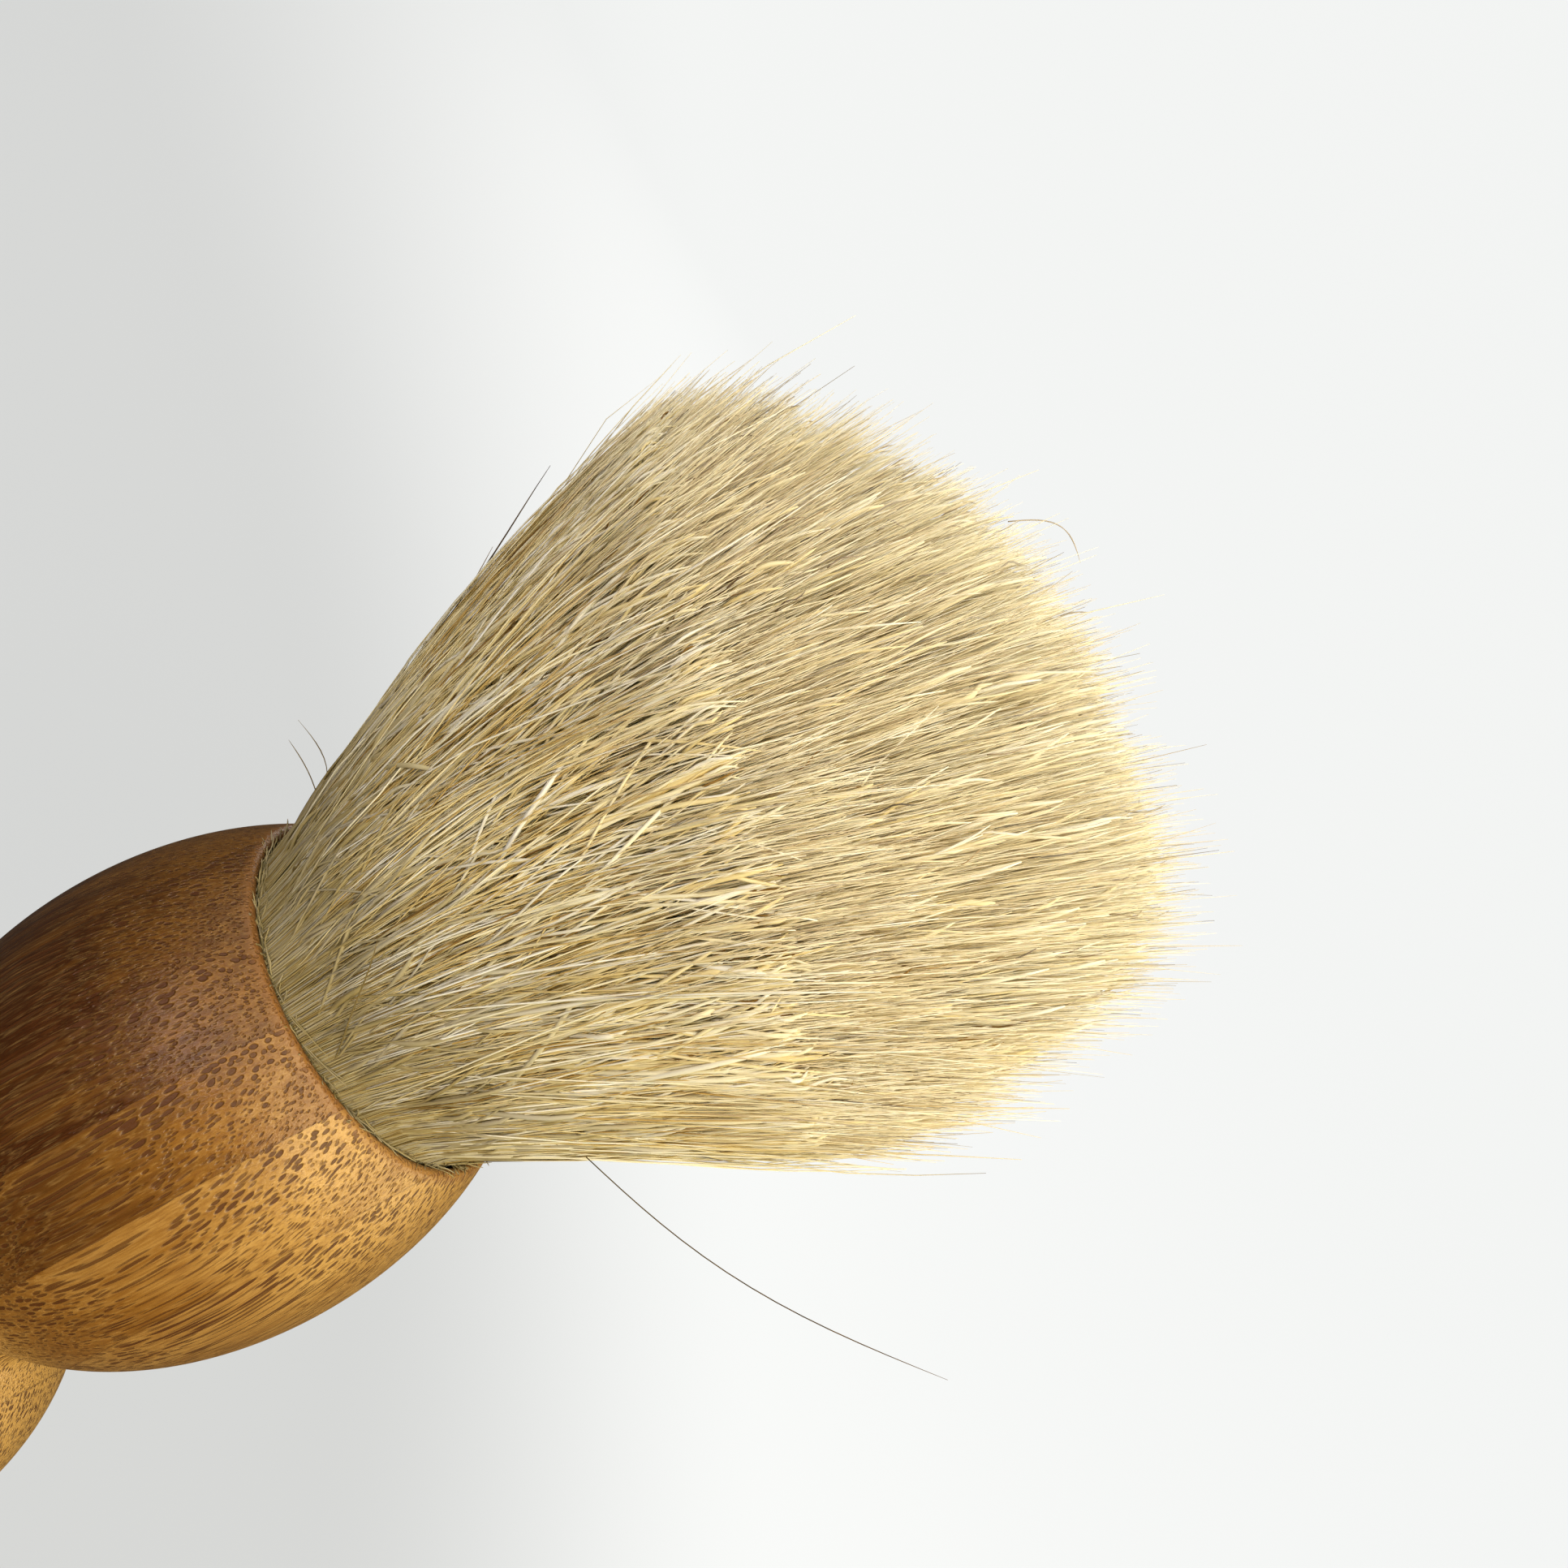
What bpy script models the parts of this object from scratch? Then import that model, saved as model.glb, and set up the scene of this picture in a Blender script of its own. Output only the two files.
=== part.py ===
"""Neck duster brush: a turned handle of laminated bamboo, with a knot of natural hair glued in its head.

Metres, +Z up. The brush stands on its flat foot at Z = 0 and its axis is the Z axis. The glue lines
between the bamboo strips are planes across X.
"""

import math

import bmesh
import bpy

# Handle, turned on the Z axis
HANDLE_HEIGHT = 0.080
HEAD_RADIUS = 0.0196
HEAD_HALF_HEIGHT = 0.0278
HEAD_CENTRE_Z = 0.0625
WAIST_TOP_Z = 0.0415
WAIST_BOTTOM_Z = 0.0365
BODY_RADIUS = 0.0205
BODY_CENTRE_Z = 0.020
BODY_UPPER_HALF_HEIGHT = 0.0217
BODY_LOWER_HALF_HEIGHT = 0.032
FOOT_EDGE_RADIUS = 0.0018

# Socket in the head, and its rounded lip
LIP_RADIUS = 0.0005
SOCKET_DEPTH = 0.018

# Bamboo strips: six layers, each as thick as the pitch less the glue line
STRIP_COUNT = 6
STRIP_PITCH = 0.007
GLUE_LINE = 0.0003
WAIST_SPLIT_Z = (WAIST_TOP_Z + WAIST_BOTTOM_Z) / 2
CUTTER_MARGIN = 0.002

# Knot, from the socket's floor upwards
CLEARANCE = 0.0003
ADHESIVE_RADIUS = 0.0138
ADHESIVE_THICKNESS = 0.0008
PLUG_RADIUS = 0.0136
PLUG_THICKNESS = 0.005
ROOT_RADIUS = 0.0136
ROOT_CHAMFER = 0.0004

# Thread wound round the hair roots
THREAD_DIAMETER = 0.0008
THREAD_TURNS = 4
THREAD_BASE_ABOVE_ROOTS = 0.0018
THREAD_HALF_ARC = 0.42 * math.pi
GROOVE_RADIUS = 0.0125

# Hair above the rim: its radius grows with height, then a dome of tips closes it
TUFT_RIM_RADIUS = 0.0139
TUFT_FLARE = 0.47
TUFT_FLARE_DROP = 1.5
TUFT_SHOULDER = 0.036
TUFT_HEIGHT = 0.062
DOME_POWER = 2.8

HANDLE_SEGMENTS = 48
TUFT_SEGMENTS = 40
INNER_SEGMENTS = 24

TOP_OF_SOCKET_FLOOR = HANDLE_HEIGHT - SOCKET_DEPTH
ADHESIVE_Z = TOP_OF_SOCKET_FLOOR + CLEARANCE
PLUG_Z = ADHESIVE_Z + ADHESIVE_THICKNESS + CLEARANCE
ROOTS_Z = PLUG_Z + PLUG_THICKNESS + CLEARANCE
THREAD_Z = ROOTS_Z + THREAD_BASE_ABOVE_ROOTS
THREAD_TOP_Z = THREAD_Z + THREAD_TURNS * THREAD_DIAMETER


def clear_scene():
    for obj in list(bpy.data.objects):
        bpy.data.objects.remove(obj, do_unlink=True)


def material(name, colour, roughness):
    made = bpy.data.materials.new(name)
    made.use_nodes = True
    shader = made.node_tree.nodes["Principled BSDF"]
    shader.inputs["Base Color"].default_value = (*colour, 1.0)
    shader.inputs["Roughness"].default_value = roughness
    shader.inputs["Metallic"].default_value = 0.0
    made.diffuse_color = (*colour, 1.0)
    return made


def place(name, mesh, colour, roughness):
    """Puts a mesh in the scene as a named piece with a material of its own."""
    obj = bpy.data.objects.new(name, mesh)
    bpy.context.scene.collection.objects.link(obj)
    mesh.materials.clear()
    mesh.materials.append(material(name, colour, roughness))
    return obj


def turned_mesh(name, outline, segments, ring=False):
    """Turns an outline of (radius, z) points into a closed mesh.

    The first and last points lie on the axis, or join up away from it if the piece is a ring.
    """
    bm = bmesh.new()
    points = [bm.verts.new((radius, 0.0, z)) for radius, z in outline]
    ends = points[1:] + points[:1] if ring else points[1:]
    edges = [bm.edges.new(pair) for pair in zip(points, ends)]
    bmesh.ops.spin(
        bm,
        geom=points + edges,
        cent=(0.0, 0.0, 0.0),
        axis=(0.0, 0.0, 1.0),
        angle=math.tau,
        steps=segments,
        use_merge=True,
    )
    return finished_mesh(bm, name)


def finished_mesh(bm, name):
    bmesh.ops.remove_doubles(bm, verts=bm.verts[:], dist=1e-6)
    bmesh.ops.recalc_face_normals(bm, faces=bm.faces[:])
    mesh = bpy.data.meshes.new(name)
    bm.to_mesh(mesh)
    bm.free()
    mesh.shade_smooth()
    mesh.set_sharp_from_angle(angle=math.radians(40))
    return mesh


def ellipse_radius(z, centre_z, radius, half_height):
    return radius * math.sqrt(1.0 - ((z - centre_z) / half_height) ** 2)


def ellipse_slope(z, centre_z, radius, half_height):
    """Change of the ellipse's radius with z."""
    flatness = (radius / half_height) ** 2
    return -flatness * (z - centre_z) / ellipse_radius(z, centre_z, radius, half_height)


def head_radius(z):
    return ellipse_radius(z, HEAD_CENTRE_Z, HEAD_RADIUS, HEAD_HALF_HEIGHT)


def body_radius(z):
    half_height = BODY_UPPER_HALF_HEIGHT if z > BODY_CENTRE_Z else BODY_LOWER_HALF_HEIGHT
    return ellipse_radius(z, BODY_CENTRE_Z, BODY_RADIUS, half_height)


def spaced(first, last, count):
    return [first + (last - first) * i / (count - 1) for i in range(count)]


def waist_curve():
    """Quadratic curve that joins the body to the head, tangent to both."""
    low = (body_radius(WAIST_BOTTOM_Z), WAIST_BOTTOM_Z)
    high = (head_radius(WAIST_TOP_Z), WAIST_TOP_Z)
    low_slope = ellipse_slope(WAIST_BOTTOM_Z, BODY_CENTRE_Z, BODY_RADIUS, BODY_UPPER_HALF_HEIGHT)
    high_slope = ellipse_slope(WAIST_TOP_Z, HEAD_CENTRE_Z, HEAD_RADIUS, HEAD_HALF_HEIGHT)
    meet_z = (high[0] - low[0] + low_slope * low[1] - high_slope * high[1]) / (low_slope - high_slope)
    meet = (low[0] + low_slope * (meet_z - low[1]), meet_z)
    points = []
    for t in spaced(0.0, 1.0, 7)[1:-1]:
        weights = ((1 - t) ** 2, 2 * t * (1 - t), t * t)
        points.append(
            tuple(sum(w * p[axis] for w, p in zip(weights, (low, meet, high))) for axis in (0, 1))
        )
    return points


def lip():
    """The rounded lip: the head's last z, then an arc over the top, ending on the socket's wall."""
    centre_z = HANDLE_HEIGHT - LIP_RADIUS
    start = math.atan(-ellipse_slope(centre_z, HEAD_CENTRE_Z, HEAD_RADIUS, HEAD_HALF_HEIGHT))
    head_top_z = centre_z + LIP_RADIUS * math.sin(start)
    centre_r = head_radius(head_top_z) - LIP_RADIUS * math.cos(start)
    arc = [
        (centre_r + LIP_RADIUS * math.cos(a), centre_z + LIP_RADIUS * math.sin(a))
        for a in spaced(start, math.pi, 6)[1:]
    ]
    return head_top_z, arc


def foot_edge():
    """Rounded edge between the flat foot and the body's side, going up."""
    side = body_radius(FOOT_EDGE_RADIUS)
    centre_r = side - FOOT_EDGE_RADIUS
    return [
        (centre_r + FOOT_EDGE_RADIUS * math.sin(a), FOOT_EDGE_RADIUS * (1 - math.cos(a)))
        for a in spaced(0.0, math.pi / 2, 5)
    ]


def handle_outline():
    """Outer side of the handle from the foot up, over the lip and down into the socket."""
    head_top_z, lip_arc = lip()
    outline = [(0.0, 0.0)]
    outline += foot_edge()
    outline += [(body_radius(z), z) for z in spaced(FOOT_EDGE_RADIUS, WAIST_BOTTOM_Z, 10)[1:]]
    outline += waist_curve()
    outline += [(head_radius(z), z) for z in spaced(WAIST_TOP_Z, head_top_z, 15)]
    outline += lip_arc
    outline += [(lip_arc[-1][0], TOP_OF_SOCKET_FLOOR), (0.0, TOP_OF_SOCKET_FLOOR)]
    return outline


def slab_cutter(name, x_low, x_high, z_low, z_high):
    """A block that keeps one strip's share of the turned handle."""
    half_width = BODY_RADIUS + CUTTER_MARGIN
    bm = bmesh.new()
    bmesh.ops.create_cube(bm, size=1.0)
    bmesh.ops.scale(bm, vec=(x_high - x_low, 2 * half_width, z_high - z_low), verts=bm.verts)
    middle = ((x_low + x_high) / 2, 0.0, (z_low + z_high) / 2)
    bmesh.ops.translate(bm, vec=middle, verts=bm.verts)
    cutter = bpy.data.objects.new(name, finished_mesh(bm, name))
    bpy.context.scene.collection.objects.link(cutter)
    cutter.hide_render = True
    cutter.display_type = "WIRE"
    return cutter


def bamboo_strip(name, blank, layer, z_low, z_high):
    """One strip of the laminated handle, cut from the turned blank."""
    low = (layer - STRIP_COUNT / 2) * STRIP_PITCH
    tone = 0.92 + 0.05 * (layer % 3)
    strip = place(name, blank.copy(), (0.56 * tone, 0.33 * tone, 0.13 * tone), 0.42)
    keep = strip.modifiers.new("keep_layer", "BOOLEAN")
    keep.operation = "INTERSECT"
    keep.solver = "EXACT"
    keep.object = slab_cutter(
        f"cutter_{name}", low + GLUE_LINE / 2, low + STRIP_PITCH - GLUE_LINE / 2, z_low, z_high
    )
    return strip


def bamboo_strips():
    """Four strips run the whole height. The waist parts each outer strip in two."""
    blank = turned_mesh("turned_blank", handle_outline(), HANDLE_SEGMENTS)
    below = -CUTTER_MARGIN
    above = HANDLE_HEIGHT + CUTTER_MARGIN
    for layer in range(STRIP_COUNT):
        name = f"bamboo_strip_{layer + 1}"
        if layer in (0, STRIP_COUNT - 1):
            bamboo_strip(f"{name}_head", blank, layer, WAIST_SPLIT_Z, above)
            bamboo_strip(f"{name}_foot", blank, layer, below, WAIST_SPLIT_Z)
        else:
            bamboo_strip(name, blank, layer, below, above)
    bpy.data.meshes.remove(blank)


def socket_adhesive():
    """The bed of adhesive on the socket's floor."""
    top = ADHESIVE_Z + ADHESIVE_THICKNESS
    outline = [(0.0, ADHESIVE_Z), (ADHESIVE_RADIUS, ADHESIVE_Z), (ADHESIVE_RADIUS, top), (0.0, top)]
    mesh = turned_mesh("socket_adhesive", outline, INNER_SEGMENTS)
    return place("socket_adhesive", mesh, (0.62, 0.52, 0.30), 0.35)


def knot_resin_plug():
    """The resin disc that binds the roots of the hair."""
    chamfer = ROOT_CHAMFER
    top = PLUG_Z + PLUG_THICKNESS
    outline = [
        (0.0, PLUG_Z),
        (PLUG_RADIUS - chamfer, PLUG_Z),
        (PLUG_RADIUS, PLUG_Z + chamfer),
        (PLUG_RADIUS, top - chamfer),
        (PLUG_RADIUS - chamfer, top),
        (0.0, top),
    ]
    mesh = turned_mesh("knot_resin_plug", outline, INNER_SEGMENTS)
    return place("knot_resin_plug", mesh, (0.45, 0.30, 0.12), 0.30)


def root_binding_thread():
    """Turns of thread round the roots, drawn tight, so that they form one ribbed ring."""
    radius = THREAD_DIAMETER / 2
    inner = GROOVE_RADIUS + CLEARANCE
    outline = []
    for turn in range(THREAD_TURNS):
        centre_z = THREAD_Z + radius + turn * THREAD_DIAMETER
        for a in spaced(-THREAD_HALF_ARC, THREAD_HALF_ARC, 5):
            outline.append((inner + radius + radius * math.cos(a), centre_z + radius * math.sin(a)))
    outline.append((inner, outline[-1][1]))
    outline.append((inner, outline[0][1]))
    mesh = turned_mesh("root_binding_thread", outline, INNER_SEGMENTS, ring=True)
    return place("root_binding_thread", mesh, (0.72, 0.66, 0.52), 0.85)


def tuft_radius(above_rim):
    return TUFT_RIM_RADIUS + TUFT_FLARE * above_rim - TUFT_FLARE_DROP * above_rim**2


def hair_tuft():
    """The whole bundle of hair: packed roots in the socket, and the flared, domed tuft above it."""
    groove_low = THREAD_Z - CLEARANCE
    groove_high = THREAD_TOP_Z + CLEARANCE
    outline = [
        (0.0, ROOTS_Z),
        (ROOT_RADIUS - ROOT_CHAMFER, ROOTS_Z),
        (ROOT_RADIUS, ROOTS_Z + ROOT_CHAMFER),
        (ROOT_RADIUS, groove_low),
        (GROOVE_RADIUS, groove_low),
        (GROOVE_RADIUS, groove_high),
        (ROOT_RADIUS, groove_high),
    ]
    for above_rim in spaced(0.0, TUFT_SHOULDER, 9):
        outline.append((tuft_radius(above_rim), HANDLE_HEIGHT + above_rim))
    shoulder_radius = tuft_radius(TUFT_SHOULDER)
    dome_height = TUFT_HEIGHT - TUFT_SHOULDER
    for share in (0.985, 0.96, 0.92, 0.86, 0.78, 0.68, 0.56, 0.42, 0.28, 0.14, 0.0):
        rise = dome_height * (1.0 - share**DOME_POWER)
        outline.append((shoulder_radius * share, HANDLE_HEIGHT + TUFT_SHOULDER + rise))
    mesh = turned_mesh("hair_tuft", outline, TUFT_SEGMENTS)
    return place("hair_tuft", mesh, (0.71, 0.62, 0.44), 0.75)


def build():
    clear_scene()
    bamboo_strips()
    socket_adhesive()
    knot_resin_plug()
    root_binding_thread()
    hair_tuft()


build()
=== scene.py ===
"""Looks of the neck duster brush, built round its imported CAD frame.

Metres, in the frame's own axes: the brush stands on Z = 0, +Z runs along its axis to the tips of
the hair, and the glue lines of the bamboo are planes across X.
"""

import math

import bmesh
import bpy
import numpy as np
from mathutils import Matrix, Vector


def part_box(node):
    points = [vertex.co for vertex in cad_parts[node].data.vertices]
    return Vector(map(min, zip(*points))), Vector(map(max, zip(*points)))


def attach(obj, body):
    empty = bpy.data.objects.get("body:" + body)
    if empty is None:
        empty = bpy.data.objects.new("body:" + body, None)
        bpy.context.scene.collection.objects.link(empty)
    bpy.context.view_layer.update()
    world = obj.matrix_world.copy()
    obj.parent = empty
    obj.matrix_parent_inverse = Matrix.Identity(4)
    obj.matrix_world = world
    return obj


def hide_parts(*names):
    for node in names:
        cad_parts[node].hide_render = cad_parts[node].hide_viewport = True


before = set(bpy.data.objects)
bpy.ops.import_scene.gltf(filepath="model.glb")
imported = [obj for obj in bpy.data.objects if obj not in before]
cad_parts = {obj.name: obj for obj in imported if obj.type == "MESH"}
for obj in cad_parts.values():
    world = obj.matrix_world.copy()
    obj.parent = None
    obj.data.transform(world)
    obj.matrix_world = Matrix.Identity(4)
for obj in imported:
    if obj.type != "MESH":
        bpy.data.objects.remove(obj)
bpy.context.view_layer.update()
rng = np.random.default_rng(20)

MM = 0.001
MERGE_DISTANCE = 1e-7

# Handle outline, on the CAD's own driving dimensions
HEAD_RADIUS = 19.6 * MM
HEAD_HALF_HEIGHT = 27.8 * MM
HEAD_CENTRE_Z = 62.5 * MM
WAIST_TOP_Z = 41.5 * MM
WAIST_BOTTOM_Z = 36.5 * MM
BODY_RADIUS = 20.5 * MM
BODY_CENTRE_Z = 20.0 * MM
BODY_UPPER_HALF_HEIGHT = 21.7 * MM
BODY_LOWER_HALF_HEIGHT = 32.0 * MM
FOOT_EDGE_RADIUS = 1.8 * MM
LIP_RADIUS = 0.5 * MM
SOCKET_DEPTH = 18.0 * MM
STRIP_PITCH = 7.0 * MM
STRIP_COUNT = 6
HANDLE_SEGMENTS = 288
RIM_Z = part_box("bamboo_strip_3")[1].z
FOOT_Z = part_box("bamboo_strip_3")[0].z

# Tuft: the CAD's rim and height, and the way that the hair leans and ends, measured from the rim
TUFT_RIM_RADIUS = 13.9 * MM
TUFT_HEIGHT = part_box("hair_tuft")[1].z - RIM_Z
TUFT_FLARE = 0.43
TUFT_FLARE_DROP = 1.5
TUFT_FULL_SIDE = 0.065  # how much fuller the tuft is at -X, and thinner at +X
TUFT_LEAN = Vector((9.9, -2.3, 0.0)) * MM
LEAN_POWER = 1.8
SOCKET_TAPER = 0.02
TUFT_SHOULDER = 33.2 * MM  # mean height at which the side turns into the dome
TUFT_SHOULDER_FALL = Vector((7.8, 6.0, 0.0)) * MM
TUFT_TIP_HEIGHT = TUFT_HEIGHT - 3.0 * MM
TUFT_TILT = -4.5 * MM
DOME_POWER = 3.0
CORE_SHARE = 0.90
CORE_INSET = 10.0 * MM
ROOT_DEPTH = 6.0 * MM
LOOSE_SHARE = 0.42  # how many of the side hairs belong to no wisp
WEAVE_SHARE = 0.022
SIDE_HAIRS, SIDE_WISPS = 16000, 1200
TIP_HAIRS, TIP_WISPS = 16000, 1600
TIP_HAIR_LENGTH = 19.0 * MM
WOVEN_STRANDS = 5200
RIM_FIBRES = 420

# Bamboo: how light each strip is, from -X, and the colours. The strips differ in tone of their own, and
# those at -X are set darker still as painted shade, for the side turned away from the lights.
STRIP_TONES_AND_SHADE = (0.18, 0.06, 0.12, 0.31, 0.63, 0.74)
BAMBOO_RAMP = [(0.05, (0.036, 0.009, 0.001)), (0.45, (0.230, 0.096, 0.012)), (0.90, (0.520, 0.290, 0.072))]
BAMBOO_PALE = (0.50, 0.29, 0.09)
BAMBOO_DARK_GRAIN = (0.130, 0.042, 0.007)
BAMBOO_PIT = (0.065, 0.016, 0.001)
BAMBOO_GLUE_LINE = (0.07, 0.022, 0.004)
BAMBOO_LIP_STAIN = (0.27, 0.115, 0.030)
BUNDLE_SHIFT = 37.0  # millimetres between the bundle patterns of two strips

# Hair colours, from the darkest hairs to the palest
HAIR_RAMP = [
    (0.00, (0.045, 0.026, 0.014)),
    (0.12, (0.270, 0.140, 0.030)),
    (0.30, (0.600, 0.400, 0.120)),
    (0.52, (0.820, 0.660, 0.300)),
    (0.78, (0.910, 0.815, 0.520)),
    (1.00, (0.960, 0.910, 0.740)),
]
HAIR_ROOT = (0.215, 0.155, 0.050)
HAIR_TIP = (0.82, 0.76, 0.60)
# Dark marks: on hair tips, and dashes along hairs that are partly painted shadow between them
HAIR_STAIN_AND_SHADE = (0.11, 0.060, 0.018)

# Camera
CAMERA_TARGET = Vector((0.9, -0.4, 116.1)) * MM
CAMERA_DISTANCE = 123.9 * MM
CAMERA_AZIMUTH = math.radians(5.6)
CAMERA_ELEVATION = math.radians(11.3)
CAMERA_ROLL = math.radians(60.75)
CAMERA_FIELD = math.radians(50.0)

# Stage: the wall's glow is set by the direction from a point just over the tuft
LIGHTS_AIM_Z = 0.085
WALL_CENTRE_Z = 0.14
WALL_BRIGHT_SIDE = (0.48, 0.20, 0.85)
FLOOR_FLAT_RADIUS = 0.40
FLOOR_SWEEP_RADIUS = 0.55
WALL_TOP_Z = 1.35


# ---------------------------------------------------------------- shader helpers


def new_material(name):
    made = bpy.data.materials.new(name)
    made.use_nodes = True
    return made, made.node_tree, made.node_tree.nodes["Principled BSDF"]


def feed(tree, socket, value):
    """Links value to the socket if it is another socket, and else sets it."""
    if isinstance(value, bpy.types.NodeSocket):
        tree.links.new(value, socket)
    else:
        socket.default_value = value


def add_node(tree, kind, inputs, **settings):
    """A new shader node with its inputs fed by name or by index."""
    made = tree.nodes.new(kind)
    for key, value in settings.items():
        setattr(made, key, value)
    for key, value in inputs.items():
        feed(tree, made.inputs[key], value)
    return made


def maths(tree, operation, first, second=0.0):
    return add_node(tree, "ShaderNodeMath", {0: first, 1: second}, operation=operation).outputs[0]


def plus(tree, first, second):
    return maths(tree, "ADD", first, second)


def minus(tree, first, second):
    return maths(tree, "SUBTRACT", first, second)


def times(tree, first, second):
    return maths(tree, "MULTIPLY", first, second)


def remap(tree, value, low, high, to_low=0.0, to_high=1.0, smooth=True):
    """Takes low to to_low and high to to_high, held beyond them, along a smooth step or a straight line."""
    made = add_node(
        tree,
        "ShaderNodeMapRange",
        {"Value": value, "From Min": low, "From Max": high, "To Min": to_low, "To Max": to_high},
        interpolation_type="SMOOTHSTEP" if smooth else "LINEAR",
    )
    return made.outputs["Result"]


def blend_colours(tree, share, first, second):
    """The first colour, going over to the second as share goes to 1. The second is a constant (r, g, b)."""
    made = tree.nodes.new("ShaderNodeMix")
    made.data_type = "RGBA"
    feed(tree, made.inputs["Factor"], share)
    feed(tree, made.inputs[6], first)
    feed(tree, made.inputs[7], (*second, 1.0))
    return made.outputs[2]


def noise(tree, scale, detail=2.0, roughness=0.5):
    """Noise node on the object's own coordinates, with an (x, y, z) scale per metre."""
    place = scaled_position(tree, scale)
    inputs = {"Vector": place, "Scale": 1.0, "Detail": detail, "Roughness": roughness}
    return add_node(tree, "ShaderNodeTexNoise", inputs)


def scaled_position(tree, scale):
    """Object coordinates times a vector, so that a texture can be stretched along the brush."""
    place = tree.nodes.new("ShaderNodeTexCoord").outputs["Object"]
    made = add_node(tree, "ShaderNodeVectorMath", {0: place, 1: scale}, operation="MULTIPLY")
    return made.outputs[0]


def along_strip(across, along):
    """Noise scale per metre from features per millimetre across the bamboo's grain and along it."""
    return (across / MM, across / MM, along / MM)


def ramp(tree, value, stops):
    """Colour ramp through (place, (r, g, b)) stops."""
    made = add_node(tree, "ShaderNodeValToRGB", {"Fac": value})
    elements = made.color_ramp.elements
    while len(elements) < len(stops):
        elements.new(0.5)
    for element, (place, colour) in zip(elements, stops):
        element.position = place
        element.color = (*colour, 1.0)
    return made.outputs["Color"]


# ---------------------------------------------------------------- materials


def bundle_pits(tree, across_mm, deep_mm, spacing, randomness, size):
    """Fibre bundles cut across: how far a point lies inside the nearest one, in parts of the spacing.

    across_mm and deep_mm are places in the strip's cross-section, and spacing is how far apart the
    bundles lie along each, in millimetres. size is a bundle's radius in parts of the spacing.
    """
    u = maths(tree, "DIVIDE", across_mm, spacing[0])
    v = maths(tree, "DIVIDE", deep_mm, spacing[1])
    section = add_node(tree, "ShaderNodeCombineXYZ", {0: u, 1: v}).outputs[0]
    cells = add_node(
        tree,
        "ShaderNodeTexVoronoi",
        {"Vector": section, "Scale": 1.0, "Randomness": randomness},
        voronoi_dimensions="2D",
        feature="F1",
    )
    chance = add_node(
        tree, "ShaderNodeTexWhiteNoise", {"Vector": cells.outputs["Position"]}, noise_dimensions="2D"
    ).outputs["Value"]
    size = times(tree, size, remap(tree, chance, 0.0, 1.0, 0.60, 1.20, smooth=False))
    return minus(tree, size, cells.outputs["Distance"]), chance


def bundle_places(tree, layer, x, y):
    """Where a point lies across the fibre bundles, which wander as they run along the strip."""
    sway = times(tree, minus(tree, noise(tree, along_strip(0.30, 0.06)).outputs["Fac"], 0.5), 1.1)
    jitter = noise(tree, along_strip(0.8, 0.16)).outputs["Color"]
    jitter_x, jitter_y, _ = add_node(tree, "ShaderNodeSeparateXYZ", {0: jitter}).outputs
    bundle_x = plus(tree, plus(tree, x, sway), times(tree, jitter_x, 0.50))
    bundle_y = plus(tree, minus(tree, y, sway), times(tree, jitter_y, 0.40))
    return bundle_x, plus(tree, bundle_y, BUNDLE_SHIFT * layer)


def bamboo_ground(tree, layer, z, grain):
    """Colour between the bundles: the strip's own tone, slow changes of it, painted light and shade along
    Z, and the fibre grain.
    """
    streak = noise(tree, along_strip(1.6, 0.04), 3.0, 0.6).outputs["Fac"]
    cloud = noise(tree, along_strip(0.22, 0.06)).outputs["Fac"]
    # Each strip's tone: partly its own colour, partly painted shade that darkens the strips at -X
    tone = maths(tree, "MULTIPLY_ADD", streak, 0.50)
    tone.node.inputs[2].default_value = STRIP_TONES_AND_SHADE[layer] - 0.50
    tone = plus(tree, tone, times(tree, cloud, 0.50))
    # Painted light and shade: lighter towards the rim, darker lower on the head, for the light from above
    tone = plus(tree, tone, remap(tree, z, 58.0, RIM_Z / MM, -0.15, 0.18))
    # Painted light: lighter again over the waist and foot
    tone = plus(tree, tone, remap(tree, z, 36.0, 50.0, 0.50, 0.0))
    ground = ramp(tree, tone, BAMBOO_RAMP)
    ground = blend_colours(tree, remap(tree, grain, 0.42, 0.72, 0.0, 0.50), ground, BAMBOO_DARK_GRAIN)
    return blend_colours(tree, remap(tree, grain, 0.30, 0.48, 0.24, 0.0), ground, BAMBOO_PALE)


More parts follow.
